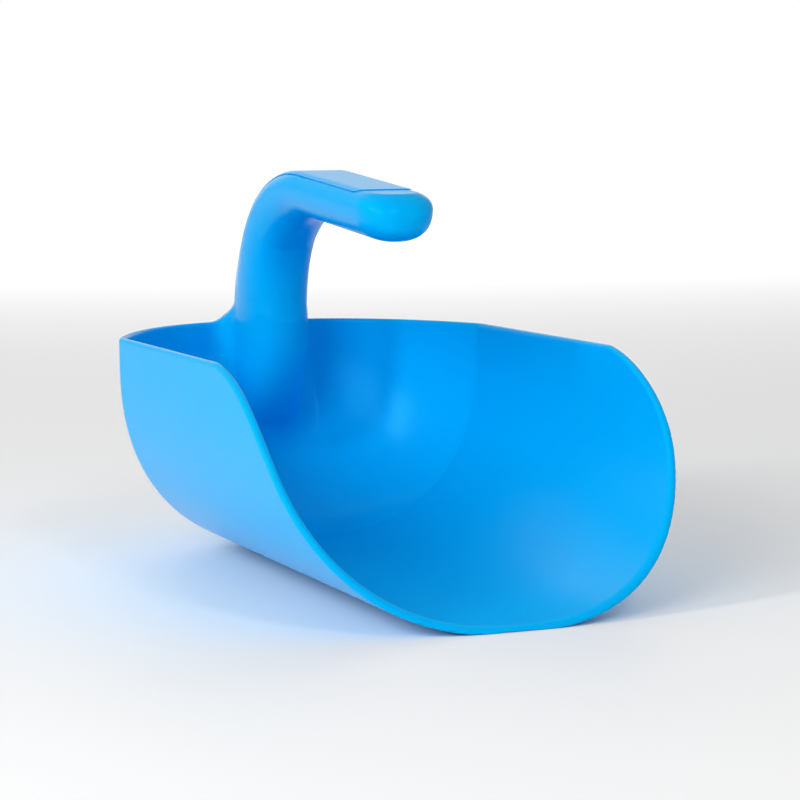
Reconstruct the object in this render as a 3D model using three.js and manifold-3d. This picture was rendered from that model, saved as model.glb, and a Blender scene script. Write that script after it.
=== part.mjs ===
// Hand scoop with a bent handle over the bowl.
// Row frame: millimetres, +Z up, +X from the closed back to the open mouth, Y across.
// The origin is on the floor, under the middle of the scoop's length.

import * as THREE from 'three';
import { mergeVertices } from 'three/addons/utils/BufferGeometryUtils.js';
import Module from 'manifold-3d';

// ---- bowl ----
const LENGTH = 270; // back of the bowl to the lip
const WIDTH = 160; // across the straight sides
const RIM_HEIGHT = 88; // level rim above the floor
const WALL = 3;
const WIDEST_HEIGHT = 78.5; // the trough's section curves up to here, then rises with draft
const DRAFT = THREE.MathUtils.degToRad(0.75);
const SECTION_POWER = 2.37; // superellipse exponent across the trough
const BACK_POWER = 1.67; // superellipse exponent up the closed back
const FOOT_DEPTH = 0.8; // how far the section is cut off to leave a flat foot

// ---- plan of the closed back: three arcs from the straight side to the middle ----
const SHOULDER_RADIUS = 9;
const SHOULDER_TURN = THREE.MathUtils.degToRad(21);
const FLANK_RADIUS = 126.5;
const FLANK_TURN = THREE.MathUtils.degToRad(40.3); // heading where the nose arc starts

// ---- mouth, seen from the side ----
const LIP_ANGLE = THREE.MathUtils.degToRad(57.5); // slope of the straight stretch to the lip
const MOUTH_CORNER_RADIUS = 20; // first arc, where the rim turns down
const MOUTH_CORNER_TURN = THREE.MathUtils.degToRad(10.5);
const MOUTH_SWEEP_RADIUS = 79.5; // second arc, down to the straight stretch

// ---- handle: the line along the middle of its flat outer side ----
const STEM_BACK = 4.5; // stem's flat back, forward of the bowl's back
const STEM_START = 87; // height where the line starts
const STEM_STRAIGHT = 3;
const BEND_RADIUS = 61;
const BEND_TURN = THREE.MathUtils.degToRad(58.5);
const CREST_RADIUS = 90;
const START_HEADING = THREE.MathUtils.degToRad(88.7);
const GRIP_TILT = THREE.MathUtils.degToRad(5); // the grip falls towards its tip
const GRIP_END = 156.5; // forward of the bowl's back, where the rounded tip starts
const TIP_LENGTH = 16.5;
const TIP_POWER = 2.4;
const TIP_MIDDLE = 0.6; // height that the tip closes on, as a share of the grip's thickness

// ---- handle section ----
const STEM_THICKNESS = 38.4;
const GRIP_THICKNESS = 19.3;
const STEM_HALF_WIDTH = 13.8;
const GRIP_HALF_WIDTH = 15.4;
const STEM_WAIST = 0.5; // widest place, as a share of the thickness below the flat
const GRIP_WAIST = 0.32;
const FLAT_HALF_WIDTH = 10; // on the stem and the bend
const FLAT_END_HALF_WIDTH = 9.5; // at the grip's tip
const HANDLE_POWER = 2.3;
const HANDLE_WALL = 3;

// ---- closing strip, its seat and the hollow under it ----
const STRIP_START = 109; // height of the strip's lower end
const STRIP_END = 151; // forward of the bowl's back
const STRIP_THICKNESS = 2.5;
const STRIP_LEDGE = 2; // width of the step that carries each edge of the strip
const STRIP_INSET = 0.5; // strip's edge inside the flat's edge
const RIB_DEPTH = 2; // locating rib under the strip
const GAP = 0.3; // between pieces that touch
const HOLLOW_END = 147;
const RIB_THICKNESS = 2;
const GRIP_RIBS = [72, 98, 124]; // stiffening ribs across the grip's hollow

// ---- root of the handle on the bowl ----
const JOINT_HEIGHT = 98; // the handle sits on the root here
const SPIGOT_TOP = 108; // the root's hollow spigot goes up inside the stem
const SPIGOT_WALL = 2.5;
const CORE_BOTTOM = 62; // the root is hollow down to here
const CORE_WALL = 3.5;
const ROOT_TOP = 84; // the root has its full section above here
const ROOT_BOTTOM = 33; // and fades into the back wall here
const ROOT_REACH_POWER = 1.5;
const ROOT_WIDTH_POWER = 2.2;
const ROOT_FILLET = 9; // beside the root, on the inside of the bowl
const RIM_FILLET = 9; // from the rim up the stem's sides
const COLLAR_REACH = 8; // how far in from the outside of the back wall the collar goes
const COLLAR_START = THREE.MathUtils.degToRad(4); // stretch of the fillet's quarter circle
const COLLAR_END = THREE.MathUtils.degToRad(86);
const ROOT_LEAST = 0.6; // the root's reach and half width where it fades out
const FILLET_SHARE = 0.6; // most of the root's reach that the fillet may take

// ---- facets ----
const ARC_STEP = THREE.MathUtils.degToRad(7);
const SECTION_LEVELS = 13;
const FLOOR_ANGLE = 0.12; // the trough's inside is flat where its section is this close to level
const HANDLE_SIDES = 28;
const HOLLOW_SIDES = 20;
const GRIP_STEPS = 4;
const TIP_SHARES = [0.2, 0.4, 0.6, 0.75, 0.87, 0.95, 0.99]; // of the tip's length
const ROOT_LEVELS = 9;
const ROOT_FILLET_STEPS = 4;
const ROOT_FRONT_STEPS = 6;
const COLLAR_LEVELS = 6;

// ---- room around the cuts ----
const BITE = 1; // how far solids that are joined run into each other
const RUN_OUT = 12; // how far a solid runs on past a cut
const BEYOND = 400; // further out than the object reaches in any direction

const wasm = await Module();
wasm.setup();

const halfWidth = WIDTH / 2;
const superellipse = (share, power) => (1 - share ** power) ** (1 / power);
const mix = (a, b, t) => a + (b - a) * t;
const smooth = (t) => t * t * (3 - 2 * t);

// A closed mesh as a manifold solid, turned so that its faces point out.
function solidFrom(vertices, triangles) {
  let volume = 0;
  const corner = (i) => new THREE.Vector3().fromArray(vertices, 3 * i);
  for (let i = 0; i < triangles.length; i += 3) {
    const [a, b, c] = [0, 1, 2].map((k) => corner(triangles[i + k]));
    volume += a.dot(b.cross(c));
  }
  const turned = volume < 0 ? [...triangles].reverse() : triangles;
  const mesh = new wasm.Mesh({
    numProp: 3,
    vertProperties: new Float32Array(vertices),
    triVerts: new Uint32Array(turned),
  });
  return new wasm.Manifold(mesh);
}

function solidFromGeometry(geometry) {
  geometry.deleteAttribute('normal');
  geometry.deleteAttribute('uv');
  const merged = mergeVertices(geometry, 1e-4);
  return solidFrom([...merged.attributes.position.array], [...merged.index.array]);
}

// A solid through closed rings with the same number of points, capped at both ends.
function loft(rings) {
  const count = rings[0].length;
  const vertices = [];
  const triangles = [];
  for (const ring of rings) {
    for (const point of ring) vertices.push(point.x, point.y, point.z);
  }
  for (let i = 0; i + 1 < rings.length; i += 1) {
    for (let j = 0; j < count; j += 1) {
      const a = i * count + j;
      const b = i * count + ((j + 1) % count);
      triangles.push(a, b, b + count, a, b + count, a + count);
    }
  }
  for (const [start, last] of [[0, false], [(rings.length - 1) * count, true]]) {
    const ring = rings[last ? rings.length - 1 : 0];
    const middle = new THREE.Vector3();
    for (const point of ring) middle.addScaledVector(point, 1 / count);
    const hub = vertices.length / 3;
    vertices.push(middle.x, middle.y, middle.z);
    for (let j = 0; j < count; j += 1) {
      const a = start + j;
      const b = start + ((j + 1) % count);
      triangles.push(...(last ? [a, b, hub] : [b, a, hub]));
    }
  }
  return solidFrom(vertices, triangles);
}

// An outline in the X-Z plane, extruded across the scoop.
function acrossSolid(points, width) {
  const shape = new THREE.Shape(points.map(([x, z]) => new THREE.Vector2(x, z)));
  const geometry = new THREE.ExtrudeGeometry(shape, { depth: width, bevelEnabled: false });
  geometry.rotateX(Math.PI / 2);
  geometry.translate(0, width / 2, 0);
  return solidFromGeometry(geometry);
}

function boxSolid(low, high) {
  const size = high.map((value, i) => value - low[i]);
  const geometry = new THREE.BoxGeometry(...size);
  geometry.translate(...low.map((value, i) => value + size[i] / 2));
  return solidFromGeometry(geometry);
}

// ---- bowl surfaces ----

// Half of the plan at the rim: from the end of the straight side to the middle of the back.
// x is measured back from where the side stops being straight.
function halfPlan() {
  const points = [[0, halfWidth]];
  const arc = (radius, from, to) => {
    const steps = Math.max(2, Math.ceil((to - from) / ARC_STEP));
    const [x, y] = points[points.length - 1];
    for (let i = 1; i <= steps; i += 1) {
      const heading = mix(from, to, i / steps);
      const back = radius * (Math.sin(heading) - Math.sin(from));
      const across = radius * (Math.cos(from) - Math.cos(heading));
      points.push([x + back, y - across]);
    }
  };
  arc(SHOULDER_RADIUS, 0, SHOULDER_TURN);
  arc(FLANK_RADIUS, SHOULDER_TURN, FLANK_TURN);
  const noseRadius = points[points.length - 1][1] / Math.cos(FLANK_TURN);
  arc(noseRadius, FLANK_TURN, Math.PI / 2);
  points[points.length - 1][1] = 0;
  return points;
}

const plan = halfPlan();
const backLength = plan[plan.length - 1][0];

// One level outline of the bowl, inset by a wall, open end carried past the mouth.
// Each point of the plan draws in towards the end of the straight sides as the bowl goes down.
function bowlRing(height, inset, mouthEnd) {
  const depth = WIDEST_HEIGHT + FOOT_DEPTH - inset;
  const below = Math.min(1, Math.max(0, (WIDEST_HEIGHT - height) / depth));
  const belowRim = Math.max(0, RIM_HEIGHT - Math.max(height, WIDEST_HEIGHT));
  const narrowing = belowRim * Math.tan(DRAFT);
  const half = plan.map(([x, y]) => {
    const reach = Math.hypot(x, y);
    const power = mix(BACK_POWER, SECTION_POWER, (y / reach) ** 2);
    const share = ((reach - inset - narrowing) / reach) * superellipse(below, power);
    return [backLength - x * share, y * share];
  });
  half.unshift([mouthEnd, half[0][1]]);
  const other = half.slice(0, -1).reverse().map(([x, y]) => [x, -y]);
  return [...half, ...other].map(([x, y]) => new THREE.Vector3(x, y, height));
}

function bowlSolid(inset, mouthEnd, top) {
  const bottom = inset > 0 ? inset - FOOT_DEPTH : 0;
  const start = (WIDEST_HEIGHT - bottom) / (WIDEST_HEIGHT + FOOT_DEPTH - inset);
  const first = Math.acos(Math.min(1, start) ** (SECTION_POWER / 2));
  const rings = [];
  for (let i = 0; i < SECTION_LEVELS; i += 1) {
    const angle = mix(Math.max(first, FLOOR_ANGLE), Math.PI / 2, i / (SECTION_LEVELS - 1));
    const below = Math.cos(angle) ** (2 / SECTION_POWER);
    const height = WIDEST_HEIGHT - below * (WIDEST_HEIGHT + FOOT_DEPTH - inset);
    rings.push(bowlRing(height, inset, mouthEnd));
  }
  rings.push(bowlRing(top, inset, mouthEnd));
  return loft(rings);
}

// The mouth's outline from the rim to the lip, running on below the floor.
function mouthOutline() {
  const points = [[0, RIM_HEIGHT]];
  const arc = (radius, from, to) => {
    const steps = Math.ceil((to - from) / ARC_STEP);
    const [x, z] = points[points.length - 1];
    for (let i = 1; i <= steps; i += 1) {
      const slope = mix(from, to, i / steps);
      const forward = radius * (Math.sin(slope) - Math.sin(from));
      points.push([x + forward, z - radius * (Math.cos(from) - Math.cos(slope))]);
    }
  };
  arc(MOUTH_CORNER_RADIUS, 0, MOUTH_CORNER_TURN);
  arc(MOUTH_SWEEP_RADIUS, MOUTH_CORNER_TURN, LIP_ANGLE);
  const [x, z] = points[points.length - 1];
  const run = (below) => x + (z + below) / Math.tan(LIP_ANGLE);
  points.push([run(RUN_OUT), -RUN_OUT]);
  const shift = LENGTH - run(0);
  return points.map(([px, pz]) => [px + shift, pz]);
}

// ---- handle surfaces ----

// Stations along the middle of the flat: place, heading and how far the bend has turned.
function handleStations() {
  const stations = [{ x: STEM_BACK, z: STEM_START, heading: START_HEADING }];
  const straight = (length, steps) => {
    const { x, z, heading } = stations[stations.length - 1];
    for (let i = 1; i <= steps; i += 1) {
      const run = (length * i) / steps;
      stations.push({ x: x + run * Math.cos(heading), z: z + run * Math.sin(heading), heading });
    }
  };
  const arc = (radius, turn) => {
    const { x, z, heading } = stations[stations.length - 1];
    const steps = Math.ceil(turn / ARC_STEP);
    for (let i = 1; i <= steps; i += 1) {
      const next = heading - (turn * i) / steps;
      const forward = radius * (Math.sin(heading) - Math.sin(next));
      const up = radius * (Math.cos(next) - Math.cos(heading));
      stations.push({ x: x + forward, z: z + up, heading: next });
    }
  };
  straight(STEM_STRAIGHT, 1);
  arc(BEND_RADIUS, BEND_TURN);
  arc(CREST_RADIUS, START_HEADING + GRIP_TILT - BEND_TURN);
  const crest = stations[stations.length - 1];
  straight((GRIP_END - crest.x) / Math.cos(crest.heading), GRIP_STEPS);
  for (const station of stations) {
    const turned = (START_HEADING - station.heading) / (START_HEADING + GRIP_TILT);
    const along = Math.max(0, (station.x - crest.x) / (GRIP_END - crest.x));
    station.thickness = mix(STEM_THICKNESS, GRIP_THICKNESS, smooth(turned));
    station.halfWidth = mix(STEM_HALF_WIDTH, GRIP_HALF_WIDTH, smooth(turned));
    station.waist = mix(STEM_WAIST, GRIP_WAIST, smooth(turned)) * station.thickness;
    station.flat = mix(FLAT_HALF_WIDTH, FLAT_END_HALF_WIDTH, along);
  }
  return stations;
}

const stations = handleStations();

// A point at a station: across the scoop, and below the flat.
function stationPoint(station, across, below) {
  const x = station.x + Math.sin(station.heading) * below;
  const z = station.z - Math.cos(station.heading) * below;
  return new THREE.Vector3(x, across, z);
}

// The handle's rounded section with its flat side, inset by a wall. In the tip it is smaller.
function handleRing(station, inset, sides, size = 1) {
  const flatShare = station.flat / station.halfWidth;
  const outer = station.waist / superellipse(flatShare, HANDLE_POWER) - inset;
  const inner = station.thickness - station.waist - inset;
  const ring = [];
  for (let i = 0; i < sides; i += 1) {
    const angle = (2 * Math.PI * (i + 0.5)) / sides;
    const [c, s] = [Math.cos(angle), Math.sin(angle)];
    const across = Math.sign(c) * Math.abs(c) ** (2 / HANDLE_POWER) * (station.halfWidth - inset);
    const rise = Math.sign(s) * Math.abs(s) ** (2 / HANDLE_POWER) * (s > 0 ? outer : inner);
    const below = mix(TIP_MIDDLE * station.thickness, station.waist - rise, size);
    ring.push(stationPoint(station, across * size, Math.max(inset, below)));
  }
  return ring;
}

function handleSolid() {
  const rings = stations.map((station) => handleRing(station, 0, HANDLE_SIDES));
  const end = stations[stations.length - 1];
  const ahead = new THREE.Vector3(Math.cos(end.heading), 0, Math.sin(end.heading));
  for (const share of TIP_SHARES) {
    const ring = handleRing(end, 0, HANDLE_SIDES, superellipse(share, TIP_POWER));
    rings.push(ring.map((point) => point.addScaledVector(ahead, TIP_LENGTH * share)));
  }
  return loft(rings);
}

// The station part of the way from one station to the next.
function stationWithin(before, after, share) {
  const within = {};
  for (const key of Object.keys(before)) within[key] = mix(before[key], after[key], share);
  return within;
}

// Stations from a height on the stem to a place on the grip, with one at each end.
function stationsBetween(fromHeight, toX) {
  const first = stations.findIndex((station) => station.z > fromHeight);
  const end = stations.findIndex((station) => station.x > toX);
  const [below, above] = [stations[first - 1], stations[first]];
  const [behind, ahead] = [stations[end - 1], stations[end]];
  const startShare = (fromHeight - below.z) / (above.z - below.z);
  const endShare = (toX - behind.x) / (ahead.x - behind.x);
  return [
    stationWithin(below, above, startShare),
    ...stations.slice(first, end),
    stationWithin(behind, ahead, endShare),
  ];
}

// A band along the flat, between two depths below it.
function bandSolid(fromHeight, toX, edge, top, bottom) {
  const corner = [[1, top], [1, bottom], [-1, bottom], [-1, top]];
  const ring = (station) => corner.map(([side, below]) => {
    return stationPoint(station, side * (station.flat - edge), below);
  });
  return loft(stationsBetween(fromHeight, toX).map(ring));
}

// ---- root of the handle, on the inside of the back wall ----

function rootRing(height) {
  const below = Math.max(0, (ROOT_TOP - height) / (ROOT_TOP - ROOT_BOTTOM));
  const wall = bowlRing(height, WALL, LENGTH)[plan.length].x;
  const fullReach = STEM_BACK + STEM_THICKNESS - wall;
  const reach = Math.max(ROOT_LEAST, fullReach * superellipse(below, ROOT_REACH_POWER));
  const side = Math.max(ROOT_LEAST, STEM_HALF_WIDTH * superellipse(below, ROOT_WIDTH_POWER));
  const fillet = Math.min(ROOT_FILLET, FILLET_SHARE * reach);
  const half = [[wall - WALL / 2, side + fillet]];
  for (let i = 0; i < ROOT_FILLET_STEPS; i += 1) {
    const angle = ((Math.PI / 2) * i) / ROOT_FILLET_STEPS;
    half.push([wall + fillet * (1 - Math.cos(angle)), side + fillet * (1 - Math.sin(angle))]);
  }
  for (let i = 0; i < ROOT_FRONT_STEPS; i += 1) {
    const angle = ((Math.PI / 2) * i) / ROOT_FRONT_STEPS;
    const forward = (reach - fillet) * Math.sin(angle) ** (2 / HANDLE_POWER);
    half.push([wall + fillet + forward, side * Math.cos(angle) ** (2 / HANDLE_POWER)]);
  }
  const other = half.map(([x, y]) => [x, -y]).reverse();
  const front = [wall + reach, 0];
  return [...half, front, ...other].map(([x, y]) => new THREE.Vector3(x, y, height));
}

function rootSolid() {
  const rings = [];
  for (let i = 0; i <= ROOT_LEVELS; i += 1) {
    const angle = ((Math.PI / 2) * i) / ROOT_LEVELS;
    rings.push(rootRing(ROOT_TOP - (ROOT_TOP - ROOT_BOTTOM) * Math.cos(angle)));
  }
  rings.push(rootRing(RIM_HEIGHT));
  return loft(rings);
}

// A flared collar that carries the level rim up into the stem, close to the back wall.
function rimCollar(nearWall) {
  const rings = [];
  for (let i = 0; i <= COLLAR_LEVELS; i += 1) {
    const angle = mix(COLLAR_START, COLLAR_END, i / COLLAR_LEVELS);
    const rise = RIM_FILLET * (1 - Math.cos(angle));
    const spread = RIM_FILLET * (1 - Math.sin(angle));
    const middle = STEM_BACK + STEM_THICKNESS / 2;
    const ring = [];
    for (let j = 0; j < HANDLE_SIDES; j += 1) {
      const turn = (2 * Math.PI * j) / HANDLE_SIDES;
      const [c, s] = [Math.cos(turn), Math.sin(turn)];
      const along = Math.sign(c) * Math.abs(c) ** (2 / HANDLE_POWER);
      const across = Math.sign(s) * Math.abs(s) ** (2 / HANDLE_POWER);
      const x = middle + along * (STEM_THICKNESS / 2 + spread);
      ring.push(new THREE.Vector3(x, across * (STEM_HALF_WIDTH + spread), RIM_HEIGHT + rise));
    }
    if (i === 0) rings.push(ring.map(({ x, y }) => new THREE.Vector3(x, y, RIM_HEIGHT - BITE)));
    rings.push(ring);
  }
  return loft(rings).intersect(nearWall);
}

// ---- the three pieces ----

const outsideEnd = LENGTH + RUN_OUT;
const outsideTop = RIM_HEIGHT + RIM_FILLET + BITE;
const outside = bowlSolid(0, outsideEnd, outsideTop);
const inside = bowlSolid(WALL, outsideEnd + RUN_OUT, outsideTop + RUN_OUT);
const farInside = bowlSolid(COLLAR_REACH, outsideEnd + RUN_OUT, outsideTop + RUN_OUT);
const band = outside.subtract(inside);
const nearWall = outside.subtract(farInside);
const around = [[BEYOND, -RUN_OUT], [BEYOND, BEYOND], [-RUN_OUT, BEYOND], [-RUN_OUT, RIM_HEIGHT]];
const aboveRim = acrossSolid([...mouthOutline(), ...around], WIDTH + RUN_OUT);
const arm = handleSolid();

// All the space between two heights.
function slab(from, to) {
  return boxSolid([-BEYOND, -BEYOND, from], [BEYOND, BEYOND, to]);
}

// All the space between two places along the scoop.
function slice(from, to) {
  return boxSolid([from, -BEYOND, -BEYOND], [to, BEYOND, BEYOND]);
}

// The handle's section inset by a wall, along the whole line.
function hollowSolid(inset) {
  return loft(stations.map((station) => handleRing(station, inset, HOLLOW_SIDES)));
}

// A blind core in the root, open at the top into the stem.
function rootCore() {
  const rings = [0, 0.5, 1].map((share) => {
    const height = mix(CORE_BOTTOM, STEM_START + BITE, share);
    const wall = bowlRing(height, WALL, LENGTH)[plan.length].x;
    const reach = Math.max(...rootRing(height).map((point) => point.x));
    const from = Math.max(wall, STEM_BACK) + CORE_WALL;
    const half = (reach - CORE_WALL - from) / 2;
    const ring = [];
    for (let i = 0; i < HOLLOW_SIDES; i += 1) {
      const angle = (2 * Math.PI * i) / HOLLOW_SIDES;
      const across = (STEM_HALF_WIDTH - 2 * CORE_WALL) * Math.sin(angle);
      ring.push(new THREE.Vector3(from + half * (1 + Math.cos(angle)), across, height));
    }
    return ring;
  });
  return loft(rings);
}

function scoopBowl() {
  const shell = band.subtract(aboveRim);
  const root = rootSolid().intersect(outside);
  const stub = arm.intersect(slab(STEM_START - BITE, JOINT_HEIGHT - GAP / 2));
  const spigotOutside = hollowSolid(HANDLE_WALL + GAP);
  const spigot = spigotOutside.intersect(slab(JOINT_HEIGHT - BITE, SPIGOT_TOP));
  const spigotInside = hollowSolid(HANDLE_WALL + GAP + SPIGOT_WALL);
  const bore = spigotInside.intersect(slab(STEM_START, SPIGOT_TOP + RUN_OUT));
  const solid = shell.add(root).add(stub).add(rimCollar(nearWall)).add(spigot);
  return solid.subtract(bore).subtract(rootCore());
}

function handle() {
  let hollow = hollowSolid(HANDLE_WALL).subtract(slice(HOLLOW_END, BEYOND));
  for (const place of GRIP_RIBS) {
    hollow = hollow.subtract(slice(place, place + RIB_THICKNESS));
  }
  const seatDepth = STRIP_THICKNESS + GAP;
  const seatEdge = STRIP_INSET - GAP;
  const seat = bandSolid(STRIP_START - GAP, STRIP_END + GAP, seatEdge, -BITE, seatDepth);
  const slotEdge = STRIP_INSET + STRIP_LEDGE;
  const slotDepth = seatDepth + RIB_DEPTH + BITE;
  const slot = bandSolid(STRIP_START + STRIP_LEDGE, HOLLOW_END, slotEdge, 0, slotDepth);
  const body = arm.subtract(slab(0, JOINT_HEIGHT + GAP / 2));
  return body.subtract(hollow).subtract(seat).subtract(slot);
}

function handleStrip() {
  const strip = bandSolid(STRIP_START, STRIP_END, STRIP_INSET, 0, STRIP_THICKNESS);
  const ribEdge = STRIP_INSET + STRIP_LEDGE + GAP;
  const ribFrom = STRIP_START + STRIP_LEDGE + BITE;
  const ribTop = STRIP_THICKNESS - BITE;
  const rib = bandSolid(ribFrom, HOLLOW_END - BITE, ribEdge, ribTop, STRIP_THICKNESS + RIB_DEPTH);
  return strip.add(rib);
}

function toMesh(name, solid, material) {
  const { vertProperties, triVerts } = solid.getMesh();
  const geometry = new THREE.BufferGeometry();
  geometry.setAttribute('position', new THREE.BufferAttribute(new Float32Array(vertProperties), 3));
  geometry.setIndex(new THREE.BufferAttribute(new Uint32Array(triVerts), 1));
  const mesh = new THREE.Mesh(geometry, material);
  mesh.name = name;
  mesh.position.x = -LENGTH / 2;
  return mesh;
}

const plastic = (color) => new THREE.MeshStandardMaterial({ color, roughness: 0.3, metalness: 0 });

const scoop = new THREE.Group();
scoop.add(toMesh('scoop_bowl', scoopBowl(), plastic(0x00a8ea)));
scoop.add(toMesh('handle', handle(), plastic(0x009ee4)));
scoop.add(toMesh('handle_strip', handleStrip(), plastic(0x2aa4dc)));

export default scoop;
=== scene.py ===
"""Hand scoop: the finished look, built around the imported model.

The skin is worked out as a signed distance in millimetres, measured from the bowl's outermost
back (x), its middle plane (y) and the floor (z). It is meshed on a grid, moved onto the exact
surface and placed in the row frame in metres.
"""

import math

import bmesh
import bpy
import numpy as np
from mathutils import Matrix, Vector


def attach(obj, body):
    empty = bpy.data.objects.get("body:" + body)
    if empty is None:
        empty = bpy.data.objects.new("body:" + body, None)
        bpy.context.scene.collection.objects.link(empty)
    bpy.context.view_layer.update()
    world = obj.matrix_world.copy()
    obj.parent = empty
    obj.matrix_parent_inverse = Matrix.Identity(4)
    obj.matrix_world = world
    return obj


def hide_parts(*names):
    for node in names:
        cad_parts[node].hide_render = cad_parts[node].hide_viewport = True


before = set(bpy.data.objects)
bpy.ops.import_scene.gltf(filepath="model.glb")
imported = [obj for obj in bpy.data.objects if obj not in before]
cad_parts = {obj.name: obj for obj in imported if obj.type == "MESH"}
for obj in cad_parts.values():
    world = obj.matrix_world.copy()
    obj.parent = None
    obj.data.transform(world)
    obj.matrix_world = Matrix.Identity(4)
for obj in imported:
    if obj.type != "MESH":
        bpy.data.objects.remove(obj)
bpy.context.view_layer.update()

# ---- bowl, as in the CAD ----
LENGTH = 270.0  # back of the bowl to the lip
HALF_WIDTH = 80.0
RIM = 88.0  # height of the level rim
WALL = 3.0
WIDEST = 78.5  # the section curves up to this height, then rises with draft
DRAFT = math.tan(math.radians(0.75))
SIDE_POWER = 2.37  # superellipse exponent across the trough
BACK_POWER = 1.67  # superellipse exponent up the closed back
FOOT_DEPTH = 0.8  # how far the section is cut off to leave a flat foot
SHOULDER_RADIUS = 9.0
SHOULDER_TURN = math.radians(21)
FLANK_RADIUS = 126.5
FLANK_TURN = math.radians(40.3)  # heading where the nose arc starts
LIP_ANGLE = math.radians(57.5)  # slope of the straight stretch to the lip
CORNER_RADIUS = 20.0  # where the rim turns down to the mouth
CORNER_TURN = math.radians(10.5)
SWEEP_RADIUS = 79.5  # the mouth's long arc
EDGE = 1.3  # rounding of the rim and lip
FOOT_EDGE = 0.4  # rounding round the flat foot

# ---- handle, as in the CAD ----
STEM_BACK = 4.5  # the stem's flat back, forward of the bowl's back
STEM_START = 87.0  # height where the handle's line starts
STEM_STRAIGHT = 3.0
BEND_RADIUS = 61.0
BEND_TURN = math.radians(58.5)
CREST_RADIUS = 90.0
START_HEADING = math.radians(88.7)
GRIP_TILT = math.radians(5)  # the grip falls towards its tip
GRIP_END = 156.5  # where the rounded tip starts
TIP_LENGTH = 16.5
TIP_POWER = 2.4
TIP_MIDDLE = 0.6  # height that the tip closes on, as a share of the thickness
STEM_THICKNESS = 38.4
GRIP_THICKNESS = 19.3
STEM_HALF_WIDTH = 13.8
GRIP_HALF_WIDTH = 15.4
STEM_WAIST = 0.5  # widest place, as a share of the thickness below the flat
GRIP_WAIST = 0.32
FLAT_HALF_WIDTH = 10.0  # on the stem and the bend
FLAT_END_HALF_WIDTH = 9.5  # at the grip's tip
HANDLE_POWER = 2.3  # superellipse exponent of the handle's section
FLAT_EDGE = 0.5  # rounding along the flat

# ---- closing strip ----
STRIP_START = 109.0  # height of its lower end
STRIP_END = 151.0  # its upper end, forward of the bowl's back
STRIP_SEAT = 1.0  # how far the body is cut down for it
STRIP_RAMP = 3.0  # length over which the seat comes up at each end
STRIP_SINK = 0.5  # how far the strip's underside is buried
STRIP_CORNER = 0.35  # rounding of its long edges, as a share of the seat
STRIP_CORNER_STEPS = 5
STRIP_TOP_SHARES = (0.0, 0.4, 0.75)  # places across its flat top
STRIP_SHARP = math.radians(35)  # edges steeper than this are drawn sharp
SEAT_EDGE = 0.1  # rounding along the seat

# ---- root of the handle ----
JOINT = 98.0  # height where the bowl's skin ends and the handle's starts
ROOT_TOP = 84.0  # the root starts to lean back below here
ROOT_BOTTOM = 33.0  # and has leaned back by ROOT_LEAN here
ROOT_LEAN = 31.0
ROOT_LOWEST = 22.0
ROOT_JOIN = 76.0  # from here up to the joint the root turns into the stem's section
ROOT_FILLET = 11.0  # beside the root, on the inside of the bowl
RIM_FILLET = 9.5  # from the rim up the stem's sides
COLLAR_HALF_WIDTH = 12.0
COLLAR_FRONT = 40.0

# ---- mesh ----
CELL = 1.0
COARSE = 4  # cells in a coarse block
NEAR = 1.7  # blocks this many widths from the surface are worked out finely
MARGIN = 3.0  # free space round the scoop
STEP = 0.02  # for slopes of a gauge
PROBE = 0.05  # for slopes of the distance
LEAST_SLOPE = 1e-6
LEAST_SQUARE = 0.25
EVENINGS = (0.0, 0.5, 0.5, 0.0, 0.0)  # how far each pass pulls a point to its neighbours' middle
SHOULDER_STEPS = 24
FLANK_STEPS = 40
NOSE_STEPS = 80
BEND_ROWS = 30
CREST_ROWS = 34
GRIP_ROWS = 24
TOP = 154.0  # height that the grid reaches
CUT_REACH = 1e-4
ON_JOINT = 1e-3

# ---- finish ----
BOWL_COLOR = (0.0, 0.42, 0.88)
HANDLE_COLOR = (0.0, 0.415, 0.875)
STRIP_COLOR = (0.0, 0.415, 0.875)
ROUGHNESS = 0.23
PLASTIC_IOR = 1.49
SHINE = 0.12
SHINE_TINT = (0.1, 0.7, 1.0)
GLOW = 0.12  # share of the light that passes under the surface
GLOW_REACH = (0.1, 0.5, 1.0)
GLOW_DEPTH = 0.003
SWELL_SCALE = 38  # slow waves in the moulded surface
SWELL_DETAIL = 1
SWELL_STRENGTH = 0.25
SWELL_DEPTH = 0.0003
GRAIN_SCALE = 1400  # the tool's fine texture
GRAIN_DETAIL = 2
GRAIN_STRENGTH = 0.1
GRAIN_DEPTH = 0.00002

# ---- stage and view ----
FLOOR_REACH = 4.0
FLOOR_COLOR = (0.95, 0.95, 0.95)
FLOOR_ROUGHNESS = 0.6
WORLD_LIGHT = 0.42
BEHIND_LIGHT = 1.0
BEHIND = (-0.93, 0.37, 0.0)  # direction from the scoop to the bright side
BEHIND_EDGE = 0.8  # cosine of the angle where the bright side starts
BEHIND_CORE = 0.93  # and where it is at its full
LAMPS = (  # name, place, target, size and power
    ("key", (0.24, -1.3, 0.76), (0, 0, 0.06), (0.2, 0.6), 7),
    ("side", (0.9, -1.05, 0.68), (0, 0, 0.06), (0.7, 0.7), 8.5),
    ("front", (1.3, 0.1, 1.15), (0, 0, 0.06), (0.3, 0.3), 3),
    ("backdrop", (-3.2, 1.3, 1.6), (-3.2, 1.3, 0.0), (3.0, 3.0), 60),
)
VIEW_ANGLES = (68.128, 6.517, -0.451)  # azimuth, elevation and roll in degrees
VIEW_TARGET = (-0.010, 0.0, 0.060)
VIEW_DISTANCE = 1.0063
VIEW_LENS = 116.25
VIEW_SHIFT = (0.0477, 0.0166)
VIEW_CLIP = (0.05, 20)
SENSOR = 36


def mix(a, b, t):
    return a + (b - a) * t


def smooth(t):
    return t * t * (3 - 2 * t)


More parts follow.
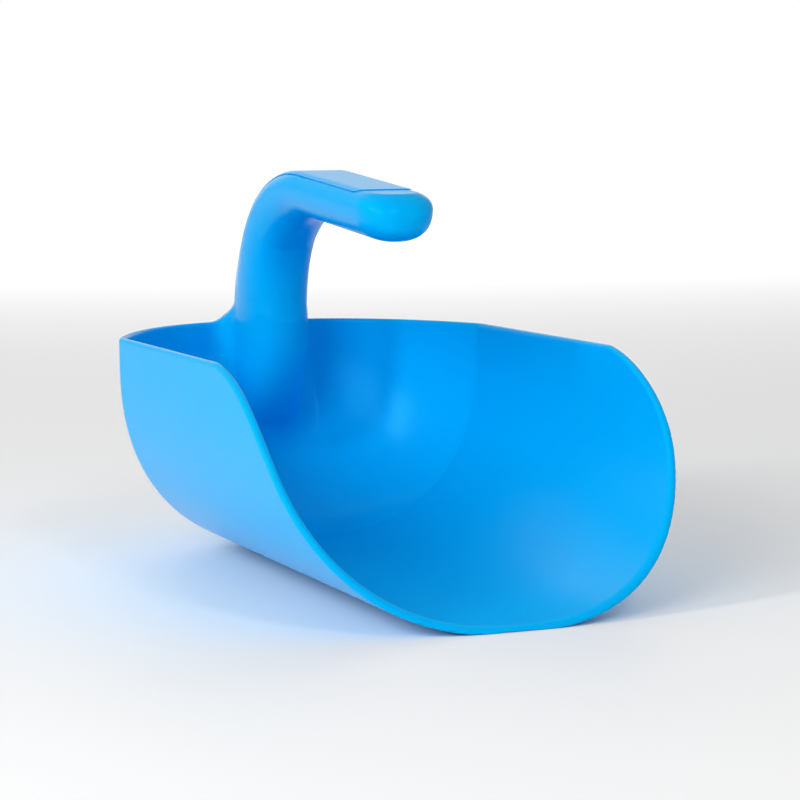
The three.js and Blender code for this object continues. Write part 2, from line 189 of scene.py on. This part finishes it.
def both(a, b, radius):
    """Where two solids overlap, with its outer edge rounded."""
    within = np.minimum(np.maximum(a, b), -radius)
    return within + np.hypot(np.maximum(a + radius, 0), np.maximum(b + radius, 0))


def either(a, b, radius):
    """Two solids joined, with a round fillet between them."""
    apart = np.maximum(np.minimum(a, b), radius)
    return apart - np.hypot(np.maximum(radius - a, 0), np.maximum(radius - b, 0))


# ---- bowl ----


def half_plan():
    """The rim's outline from the straight side to the middle of the back, as forward and across."""
    forward, across = [0.0], [HALF_WIDTH]

    def arc(radius, start, end, steps):
        x, y = forward[-1], across[-1]
        for turn in np.linspace(start, end, steps + 1)[1:]:
            forward.append(x - radius * (math.sin(turn) - math.sin(start)))
            across.append(y - radius * (math.cos(start) - math.cos(turn)))

    arc(SHOULDER_RADIUS, 0, SHOULDER_TURN, SHOULDER_STEPS)
    arc(FLANK_RADIUS, SHOULDER_TURN, FLANK_TURN, FLANK_STEPS)
    arc(across[-1] / math.cos(FLANK_TURN), FLANK_TURN, math.pi / 2, NOSE_STEPS)
    return np.array(forward), np.array(across)


PLAN_X, PLAN_Y = half_plan()
BACK = -PLAN_X[-1]
PLAN_ANGLE = np.arctan2(PLAN_Y, -PLAN_X)
PLAN_REACH = np.hypot(PLAN_X, PLAN_Y)


def bowl(x, y, z, inset):
    """Distance to the bowl's surface, inset by a wall, running straight up past the rim."""
    depth = WIDEST + FOOT_DEPTH - inset
    below = np.maximum(WIDEST - z, 0) / depth
    narrow = (RIM - np.clip(z, WIDEST, RIM)) * DRAFT
    across = np.abs(y)
    behind = np.maximum(BACK - x, 0)
    side_gauge = across / (HALF_WIDTH - inset - narrow)
    angle = np.arctan2(across, behind)
    reach = np.interp(angle, PLAN_ANGLE[::-1], PLAN_REACH[::-1]) - inset - narrow
    gauge = np.where(x < BACK, np.hypot(across, behind) / reach, side_gauge)
    share = np.sin(angle) ** 2
    power = np.where(x < BACK, mix(BACK_POWER, SIDE_POWER, share), SIDE_POWER)
    return (gauge**power + below**power) ** (1 / power) - 1


# ---- distances ----


def measured(gauge, x, y, z):
    """Turns a function that is zero on a surface into a distance from it, good close by."""
    here = gauge(x, y, z)
    slope_x = (gauge(x + STEP, y, z) - here) / STEP
    slope_y = (gauge(x, y + STEP, z) - here) / STEP
    slope_z = (gauge(x, y, z + STEP) - here) / STEP
    slope = np.sqrt(slope_x**2 + slope_y**2 + slope_z**2)
    return here / np.maximum(slope, LEAST_SLOPE)


def outer_wall(x, y, z):
    return bowl(x, y, z, 0.0)


def inner_wall(x, y, z):
    return bowl(x, y, z, WALL)


def mouth(x, z):
    """Distance above the rim or in front of the mouth, seen from the side."""
    corner_x = MOUTH_START
    corner_z = RIM - CORNER_RADIUS
    from_corner = np.arctan2(x - corner_x, z - corner_z)
    on_corner = np.hypot(x - corner_x, z - corner_z) - CORNER_RADIUS
    from_sweep = np.arctan2(x - SWEEP_X, z - SWEEP_Z)
    on_sweep = np.hypot(x - SWEEP_X, z - SWEEP_Z) - SWEEP_RADIUS
    on_lip = (x - LENGTH) * math.sin(LIP_ANGLE) + z * math.cos(LIP_ANGLE)
    lower = np.where(from_sweep < LIP_ANGLE, on_sweep, on_lip)
    rounded = np.where(from_corner < CORNER_TURN, on_corner, lower)
    return np.where(x < corner_x, z - RIM, rounded)


def mouth_places():
    """Where the rim starts to turn down, and the middle of the mouth's long arc."""
    drop = CORNER_RADIUS * (1 - math.cos(CORNER_TURN))
    drop += SWEEP_RADIUS * (math.cos(CORNER_TURN) - math.cos(LIP_ANGLE))
    run = CORNER_RADIUS * math.sin(CORNER_TURN)
    run += SWEEP_RADIUS * (math.sin(LIP_ANGLE) - math.sin(CORNER_TURN))
    start = LENGTH - run - (RIM - drop) / math.tan(LIP_ANGLE)
    reach = CORNER_RADIUS - SWEEP_RADIUS
    sweep_x = start + reach * math.sin(CORNER_TURN)
    sweep_z = RIM - CORNER_RADIUS + reach * math.cos(CORNER_TURN)
    return start, sweep_x, sweep_z


MOUTH_START, SWEEP_X, SWEEP_Z = mouth_places()


# ---- handle ----


def arc_end(x, z, radius, heading, turn):
    """Centre of a clockwise arc from a point, and the arc's far end."""
    centre_x = x + radius * math.sin(heading)
    centre_z = z - radius * math.cos(heading)
    last = heading - turn
    end_x = centre_x - radius * math.sin(last)
    end_z = centre_z + radius * math.cos(last)
    return centre_x, centre_z, end_x, end_z


STEM_X = STEM_BACK + STEM_STRAIGHT * math.cos(START_HEADING)
STEM_Z = STEM_START + STEM_STRAIGHT * math.sin(START_HEADING)
BEND_X, BEND_Z, TURN_X, TURN_Z = arc_end(STEM_X, STEM_Z, BEND_RADIUS, START_HEADING, BEND_TURN)
TURN_HEADING = START_HEADING - BEND_TURN
CREST_X, CREST_Z, GRIP_X, GRIP_Z = arc_end(
    TURN_X, TURN_Z, CREST_RADIUS, TURN_HEADING, TURN_HEADING + GRIP_TILT
)
GRIP_END_Z = GRIP_Z - (GRIP_END - GRIP_X) * math.tan(GRIP_TILT)


def along_handle(x, z):
    """Heading of the handle's line beside a point, and how far the point is below the flat."""
    in_stem = (x - STEM_X) * math.cos(START_HEADING) + (z - STEM_Z) * math.sin(START_HEADING) < 0
    stem_below = (x - STEM_X) * math.sin(START_HEADING) - (z - STEM_Z) * math.cos(START_HEADING)
    bend_heading = np.arctan2(BEND_X - x, z - BEND_Z)
    bend_below = BEND_RADIUS - np.hypot(x - BEND_X, z - BEND_Z)
    crest_heading = np.arctan2(CREST_X - x, z - CREST_Z)
    crest_below = CREST_RADIUS - np.hypot(x - CREST_X, z - CREST_Z)
    grip_below = -(x - GRIP_X) * math.sin(GRIP_TILT) - (z - GRIP_Z) * math.cos(GRIP_TILT)
    regions = [in_stem, bend_heading > TURN_HEADING, crest_heading > -GRIP_TILT]
    heading = np.select(regions, [START_HEADING, bend_heading, crest_heading], -GRIP_TILT)
    below = np.select(regions, [stem_below, bend_below, crest_below], grip_below)
    return heading, below


def section(heading, x):
    """The handle's thickness, half width, waist, flat's half width and reach above the waist."""
    turned = smooth((START_HEADING - heading) / (START_HEADING + GRIP_TILT))
    thickness = mix(STEM_THICKNESS, GRIP_THICKNESS, turned)
    half_width = mix(STEM_HALF_WIDTH, GRIP_HALF_WIDTH, turned)
    waist = mix(STEM_WAIST, GRIP_WAIST, turned) * thickness
    towards_tip = np.clip((x - GRIP_X) / (GRIP_END - GRIP_X), 0, 1)
    flat = mix(FLAT_HALF_WIDTH, FLAT_END_HALF_WIDTH, towards_tip)
    above = waist / (1 - (flat / half_width) ** HANDLE_POWER) ** (1 / HANDLE_POWER)
    return thickness, half_width, waist, flat, above


def arm(x, y, z):
    """The handle's rounded body, before its outer side is cut flat."""
    heading, below = along_handle(x, z)
    thickness, half_width, waist, _, above = section(heading, x)
    past_end = (x - GRIP_END) * math.cos(GRIP_TILT) - (z - GRIP_END_Z) * math.sin(GRIP_TILT)
    share = np.clip(past_end / TIP_LENGTH, 0, None)
    size = np.maximum(1 - share**TIP_POWER, 0) ** (1 / TIP_POWER)
    middle = TIP_MIDDLE * GRIP_THICKNESS
    centre = middle + (waist - middle) * np.where(share > 0, size, 1)
    reach = np.where(below < centre, above, thickness - waist)
    gauge = (np.abs(y / half_width) ** HANDLE_POWER + np.abs((below - centre) / reach) ** HANDLE_POWER)
    gauge = gauge ** (1 / HANDLE_POWER)
    return (share**TIP_POWER + gauge**TIP_POWER) ** (1 / TIP_POWER) - 1


def recess(x, z):
    """How far the body is cut down under the closing strip."""
    from_start = np.clip((z - STRIP_START) / STRIP_RAMP, 0, 1)
    from_end = np.clip((STRIP_END - x) / STRIP_RAMP, 0, 1)
    return STRIP_SEAT * from_start * from_end


def handle(x, y, z):
    """The arm with its outer side cut flat, and cut down for the strip."""
    _, below = along_handle(x, z)
    cut = recess(x, z)
    edge = mix(FLAT_EDGE, SEAT_EDGE, cut / STRIP_SEAT)
    return both(measured(arm, x, y, z), cut - below, edge)


# ---- root of the handle on the bowl's back wall ----


def back_wall(z):
    """The inner wall's place along the scoop, at its middle."""
    depth = WIDEST + FOOT_DEPTH - WALL
    below = np.clip((WIDEST - z) / depth, 0, 1)
    narrow = (RIM - np.clip(z, WIDEST, RIM)) * DRAFT
    return BACK - (BACK - WALL - narrow) * (1 - below**BACK_POWER) ** (1 / BACK_POWER)


def column(x, y, z):
    """The root: the stem's front carried down, leaning back until it sinks into the wall."""
    lean = ROOT_LEAN * (np.maximum(ROOT_TOP - z, 0) / (ROOT_TOP - ROOT_BOTTOM)) ** 2
    depth = STEM_THICKNESS * (1 - STEM_WAIST)
    middle = STEM_BACK + STEM_THICKNESS - depth - lean
    forward = np.maximum(x - middle, 0) / depth
    across = np.abs(y) / STEM_HALF_WIDTH
    return (forward**HANDLE_POWER + across**HANDLE_POWER) ** (1 / HANDLE_POWER) - 1


def grip(x, y, z):
    """The handle and its root: the stem's own section above the rim, the column's below it."""
    body = np.maximum(measured(column, x, y, z), ROOT_LOWEST - z)
    share = smooth(np.clip((z - ROOT_JOIN) / (JOINT - ROOT_JOIN), 0, 1))
    return mix(body, handle(x, y, z), share)


def rim(x, y, z, held):
    """Distance above the rim, which sweeps up beside the stem."""
    block = np.maximum(np.abs(y) - COLLAR_HALF_WIDTH, np.maximum(STEM_BACK - x, x - COLLAR_FRONT))
    share = smooth(np.clip((z - RIM) / RIM_FILLET, 0, 1))
    return either(mouth(x, z), mix(block, held, share), RIM_FILLET)


def scoop(x, y, z):
    """Distance to the whole scoop, without its closing strip."""
    inner = measured(inner_wall, x, y, z)
    outer = measured(outer_wall, x, y, z)
    held = grip(x, y, z)
    whole = either(-inner, held, ROOT_FILLET)
    whole = both(whole, rim(x, y, z, held), EDGE)
    whole = both(whole, outer, EDGE)
    return both(whole, -z, FOOT_EDGE)


# ---- meshing ----


def sampled(cell):
    """The distance on a grid, worked out only near the surface."""
    coarse = COARSE * cell
    low = np.array([-MARGIN, -HALF_WIDTH - MARGIN, -MARGIN])
    high = np.array([LENGTH + MARGIN, HALF_WIDTH + MARGIN, TOP + MARGIN])
    blocks = np.ceil((high - low) / coarse).astype(int)
    places = [low[i] + coarse * (np.arange(blocks[i]) + 0.5) for i in range(3)]
    x, y, z = np.meshgrid(*places, indexing="ij")
    middle = scoop(x, y, z)
    near = np.abs(middle) < coarse * NEAR
    values = np.repeat(np.repeat(np.repeat(middle, COARSE, 0), COARSE, 1), COARSE, 2)
    fine = np.repeat(np.repeat(np.repeat(near, COARSE, 0), COARSE, 1), COARSE, 2)
    index = np.nonzero(fine)
    points = [low[i] + cell * (index[i] + 0.5) for i in range(3)]
    values[index] = scoop(*points)
    return values, low + cell / 2


def surface_net(values, origin, cell):
    """Vertices and quads of a closed mesh around the grid's negative values."""
    inside = values < 0
    count = inside.shape
    corners = [
        inside[i : count[0] - 1 + i, j : count[1] - 1 + j, k : count[2] - 1 + k]
        for i in (0, 1)
        for j in (0, 1)
        for k in (0, 1)
    ]
    held = sum(corner.astype(int) for corner in corners)
    mixed = (held > 0) & (held < 8)
    number = np.full(mixed.shape, -1)
    number[mixed] = np.arange(mixed.sum())
    cells = np.array(np.nonzero(mixed)).T
    total = np.zeros((len(cells), 3))
    crossings = np.zeros(len(cells))
    quads = []
    for axis in range(3):
        second, third = (axis + 1) % 3, (axis + 2) % 3
        for a in (0, 1):
            for b in (0, 1):
                start = cells.copy()
                start[:, second] += a
                start[:, third] += b
                end = start.copy()
                end[:, axis] += 1
                at_start = values[tuple(start.T)]
                at_end = values[tuple(end.T)]
                crossed = (at_start < 0) != (at_end < 0)
                share = at_start[crossed] / (at_start[crossed] - at_end[crossed])
                total[crossed] += start[crossed]
                total[crossed, axis] += share
                crossings += crossed
        first = [slice(None)] * 3
        last = [slice(None)] * 3
        first[axis] = slice(0, -1)
        last[axis] = slice(1, None)
        changed = inside[tuple(first)] != inside[tuple(last)]
        edges = np.array(np.nonzero(changed)).T
        leaving = inside[tuple(edges.T)]
        ring = []
        for a, b in ((-1, -1), (0, -1), (0, 0), (-1, 0)):
            around = edges.copy()
            around[:, second] += a
            around[:, third] += b
            ring.append(number[tuple(around.T)])
        ring = np.array(ring).T
        ring[~leaving] = ring[~leaving][:, ::-1]
        quads.append(ring)
    vertices = origin + cell * total / crossings[:, None]
    return vertices, np.concatenate(quads)


def gradient(points):
    """Direction in which the distance grows, at each point."""
    slopes = []
    for axis in range(3):
        shift = np.zeros(3)
        shift[axis] = PROBE
        ahead = scoop(*(points + shift).T)
        behind = scoop(*(points - shift).T)
        slopes.append((ahead - behind) / (2 * PROBE))
    return np.array(slopes).T


def settled(vertices, quads, cell):
    """The mesh evened out and moved onto the surface."""
    for evening in EVENINGS:
        if evening:
            total = np.zeros_like(vertices)
            count = np.zeros(len(vertices))
            for a, b in ((0, 1), (1, 2), (2, 3), (3, 0)):
                for one, other in ((a, b), (b, a)):
                    np.add.at(total, quads[:, one], vertices[quads[:, other]])
                    np.add.at(count, quads[:, one], 1)
            vertices = mix(vertices, total / count[:, None], evening)
        slope = gradient(vertices)
        distance = np.clip(scoop(*vertices.T), -cell, cell)
        square = np.maximum((slope**2).sum(1), LEAST_SQUARE)
        vertices = vertices - slope * (distance / square)[:, None]
    return vertices


# ---- pieces ----


def to_row(points):
    """From millimetres measured from the bowl's back to metres in the row frame."""
    return (np.asarray(points) - np.array([LENGTH / 2, 0, 0])) / 1000


def new_object(name, mesh):
    made = bpy.data.objects.new(name, mesh)
    bpy.context.scene.collection.objects.link(made)
    return made


def cut_piece(name, vertices, quads, keep_above):
    """The part of the skin above or below the joint, closed where it is cut."""
    mesh = bpy.data.meshes.new(name)
    mesh.from_pydata(vertices.tolist(), [], quads.tolist())
    shape = bmesh.new()
    shape.from_mesh(mesh)
    bmesh.ops.bisect_plane(
        shape,
        geom=shape.verts[:] + shape.edges[:] + shape.faces[:],
        dist=CUT_REACH,
        plane_co=(0, 0, JOINT),
        plane_no=(0, 0, 1),
        clear_inner=keep_above,
        clear_outer=not keep_above,
    )
    open_edges = [edge for edge in shape.edges if edge.is_boundary]
    caps = bmesh.ops.holes_fill(shape, edges=open_edges, sides=0)["faces"]
    bmesh.ops.triangulate(shape, faces=caps)
    bmesh.ops.recalc_face_normals(shape, faces=shape.faces[:])
    shape.to_mesh(mesh)
    shape.free()
    places = np.empty(len(mesh.vertices) * 3)
    mesh.vertices.foreach_get("co", places)
    places = places.reshape(-1, 3)
    slopes = gradient(places)
    slopes /= np.linalg.norm(slopes, axis=1)[:, None]
    corner_vertex = np.empty(len(mesh.loops), dtype=int)
    mesh.loops.foreach_get("vertex_index", corner_vertex)
    normals = slopes[corner_vertex]
    on_joint = np.abs(places[:, 2] - JOINT) < ON_JOINT
    for face in mesh.polygons:
        if all(on_joint[i] for i in face.vertices):
            normals[list(face.loop_indices)] = face.normal
    mesh.vertices.foreach_set("co", to_row(places).ravel())
    mesh.polygons.foreach_set("use_smooth", np.ones(len(mesh.polygons), dtype=bool))
    mesh.normals_split_custom_set(normals.tolist())
    return new_object(name, mesh)


def strip_line():
    """Places and headings on the handle's line, from the strip's lower end to its upper end."""
    places = []
    first = math.acos((STRIP_START - BEND_Z) / BEND_RADIUS)
    for heading in np.linspace(first, TURN_HEADING, BEND_ROWS, endpoint=False):
        x = BEND_X - BEND_RADIUS * math.sin(heading)
        places.append((x, BEND_Z + BEND_RADIUS * math.cos(heading), heading))
    for heading in np.linspace(TURN_HEADING, -GRIP_TILT, CREST_ROWS, endpoint=False):
        x = CREST_X - CREST_RADIUS * math.sin(heading)
        places.append((x, CREST_Z + CREST_RADIUS * math.cos(heading), heading))
    for x in np.linspace(GRIP_X, STRIP_END, GRIP_ROWS):
        places.append((x, GRIP_Z - (x - GRIP_X) * math.tan(GRIP_TILT), -GRIP_TILT))
    return places


def strip_row(x, z, heading):
    """The strip's section: flat on top, sides running on into the handle's own outline."""
    _, half_width, waist, flat, above = section(heading, x)

    def outline(below):
        share = (1 - ((waist - below) / above) ** HANDLE_POWER) ** (1 / HANDLE_POWER)
        return half_width * share

    seat = float(recess(x, z))
    corner = STRIP_CORNER * seat
    side = [(flat * share, 0.0) for share in STRIP_TOP_SHARES]
    start, turn, end = (flat - 2 * corner, 0.0), (outline(0), 0.0), (outline(corner), corner)
    for t in np.linspace(0, 1, STRIP_CORNER_STEPS):
        across = (1 - t) ** 2 * start[0] + 2 * t * (1 - t) * turn[0] + t**2 * end[0]
        side.append((across, t**2 * end[1]))
    bottom = seat + STRIP_SINK
    side.append((outline(seat), seat))
    side.append((outline(seat) - STRIP_SINK, bottom))
    ring = side + [(0.0, bottom)] + [(-across, below) for across, below in side[:0:-1]]
    along_x, along_z = math.sin(heading), -math.cos(heading)
    return [(x + along_x * below, across, z + along_z * below) for across, below in ring]


def strip_piece():
    rows = [strip_row(*place) for place in strip_line()]
    count = len(rows[0])
    points = [point for row in rows for point in row]
    faces = []
    for i in range(len(rows) - 1):
        for j in range(count):
            a, b = i * count + j, i * count + (j + 1) % count
            faces.append((a, b, b + count, a + count))
    faces.append(tuple(range(count))[::-1])
    faces.append(tuple(range((len(rows) - 1) * count, len(rows) * count)))
    mesh = bpy.data.meshes.new("strip_skin")
    mesh.from_pydata(to_row(points).tolist(), [], faces)
    shape = bmesh.new()
    shape.from_mesh(mesh)
    bmesh.ops.recalc_face_normals(shape, faces=shape.faces[:])
    shape.to_mesh(mesh)
    shape.free()
    mesh.polygons.foreach_set("use_smooth", np.ones(len(mesh.polygons), dtype=bool))
    mesh.set_sharp_from_angle(angle=STRIP_SHARP)
    return new_object("strip_skin", mesh)


# ---- finish ----


def plastic(name, color, roughness):
    """Moulded polypropylene: a saturated body colour under a smooth, faintly uneven skin."""
    material = bpy.data.materials.new(name)
    material.use_nodes = True
    nodes, links = material.node_tree.nodes, material.node_tree.links
    shader = nodes["Principled BSDF"]
    shader.inputs["Base Color"].default_value = (*color, 1)
    shader.inputs["Roughness"].default_value = roughness
    shader.inputs["IOR"].default_value = PLASTIC_IOR
    shader.inputs["Specular IOR Level"].default_value = SHINE
    shader.inputs["Specular Tint"].default_value = (*SHINE_TINT, 1)
    shader.inputs["Subsurface Weight"].default_value = GLOW
    shader.inputs["Subsurface Radius"].default_value = GLOW_REACH
    shader.inputs["Subsurface Scale"].default_value = GLOW_DEPTH
    place = nodes.new("ShaderNodeTexCoord")
    swell = nodes.new("ShaderNodeTexNoise")
    swell.inputs["Scale"].default_value = SWELL_SCALE
    swell.inputs["Detail"].default_value = SWELL_DETAIL
    grain = nodes.new("ShaderNodeTexNoise")
    grain.inputs["Scale"].default_value = GRAIN_SCALE
    grain.inputs["Detail"].default_value = GRAIN_DETAIL
    links.new(place.outputs["Object"], swell.inputs["Vector"])
    links.new(place.outputs["Object"], grain.inputs["Vector"])
    waves = nodes.new("ShaderNodeBump")
    waves.inputs["Strength"].default_value = SWELL_STRENGTH
    waves.inputs["Distance"].default_value = SWELL_DEPTH
    fine = nodes.new("ShaderNodeBump")
    fine.inputs["Strength"].default_value = GRAIN_STRENGTH
    fine.inputs["Distance"].default_value = GRAIN_DEPTH
    links.new(swell.outputs["Fac"], waves.inputs["Height"])
    links.new(grain.outputs["Fac"], fine.inputs["Height"])
    links.new(waves.outputs["Normal"], fine.inputs["Normal"])
    links.new(fine.outputs["Normal"], shader.inputs["Normal"])
    return material


def plain(name, color, roughness):
    material = bpy.data.materials.new(name)
    material.use_nodes = True
    shader = material.node_tree.nodes["Principled BSDF"]
    shader.inputs["Base Color"].default_value = (*color, 1)
    shader.inputs["Roughness"].default_value = roughness
    return material


def area_light(name, place, target, size, power):
    lamp = bpy.data.lights.new(name, "AREA")
    lamp.shape = "RECTANGLE"
    lamp.size, lamp.size_y = size
    lamp.energy = power
    made = new_object(name, lamp)
    made.location = place
    aim = Vector(target) - Vector(place)
    made.rotation_euler = aim.to_track_quat("-Z", "Y").to_euler()


def studio():
    """A pale room, brighter behind the scoop than around it."""
    world = bpy.data.worlds.new("studio")
    world.use_nodes = True
    nodes, links = world.node_tree.nodes, world.node_tree.links
    place = nodes.new("ShaderNodeTexCoord")
    facing = nodes.new("ShaderNodeVectorMath")
    facing.operation = "DOT_PRODUCT"
    facing.inputs[1].default_value = BEHIND
    light = nodes.new("ShaderNodeMapRange")
    light.interpolation_type = "SMOOTHSTEP"
    light.inputs["From Min"].default_value = BEHIND_EDGE
    light.inputs["From Max"].default_value = BEHIND_CORE
    light.inputs["To Min"].default_value = WORLD_LIGHT
    light.inputs["To Max"].default_value = BEHIND_LIGHT
    nodes["Background"].inputs["Color"].default_value = (1, 1, 1, 1)
    links.new(place.outputs["Generated"], facing.inputs[0])
    links.new(facing.outputs["Value"], light.inputs["Value"])
    links.new(light.outputs["Result"], nodes["Background"].inputs["Strength"])
    bpy.context.scene.world = world


def camera():
    """In front of the mouth, to the left, just above the rim."""
    azimuth, elevation, roll = (math.radians(angle) for angle in VIEW_ANGLES)
    back = Vector(
        (
            math.sin(azimuth) * math.cos(elevation),
            -math.cos(azimuth) * math.cos(elevation),
            math.sin(elevation),
        )
    )
    data = bpy.data.cameras.new("camera")
    data.lens = VIEW_LENS
    data.sensor_width = SENSOR
    data.shift_x, data.shift_y = VIEW_SHIFT
    data.clip_start, data.clip_end = VIEW_CLIP
    made = new_object("camera", data)
    made.location = Vector(VIEW_TARGET) + back * VIEW_DISTANCE
    turn = (-back).to_track_quat("-Z", "Y").to_matrix().to_4x4()
    made.rotation_euler = (turn @ Matrix.Rotation(roll, 4, "Z")).to_euler()
    bpy.context.scene.camera = made


# ---- the scene ----

values, origin = sampled(CELL)
vertices, quads = surface_net(values, origin, CELL)
vertices = settled(vertices, quads, CELL)
bowl_skin = cut_piece("bowl_skin", vertices, quads, keep_above=False)
handle_skin = cut_piece("handle_skin", vertices, quads, keep_above=True)
strip_skin = strip_piece()
for piece, node, slot, shade in (
    (bowl_skin, "scoop_bowl", "bowl", BOWL_COLOR),
    (handle_skin, "handle", "handle", HANDLE_COLOR),
    (strip_skin, "handle_strip", "strip", STRIP_COLOR),
):
    piece.data.materials.append(plastic(slot + "_plastic", shade, ROUGHNESS))
    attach(piece, "root")
    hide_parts(node)

floor_mesh = bpy.data.meshes.new("floor")
reach = FLOOR_REACH
corners = [(-reach, -reach, 0), (reach, -reach, 0), (reach, reach, 0), (-reach, reach, 0)]
floor_mesh.from_pydata(corners, [], [(0, 1, 2, 3)])
floor = new_object("floor", floor_mesh)
floor_mesh.materials.append(plain("floor", FLOOR_COLOR, FLOOR_ROUGHNESS))

studio()
bpy.context.scene.view_settings.view_transform = "Standard"

for lamp in LAMPS:
    area_light(*lamp)
bpy.data.objects["backdrop"].visible_glossy = False
camera()
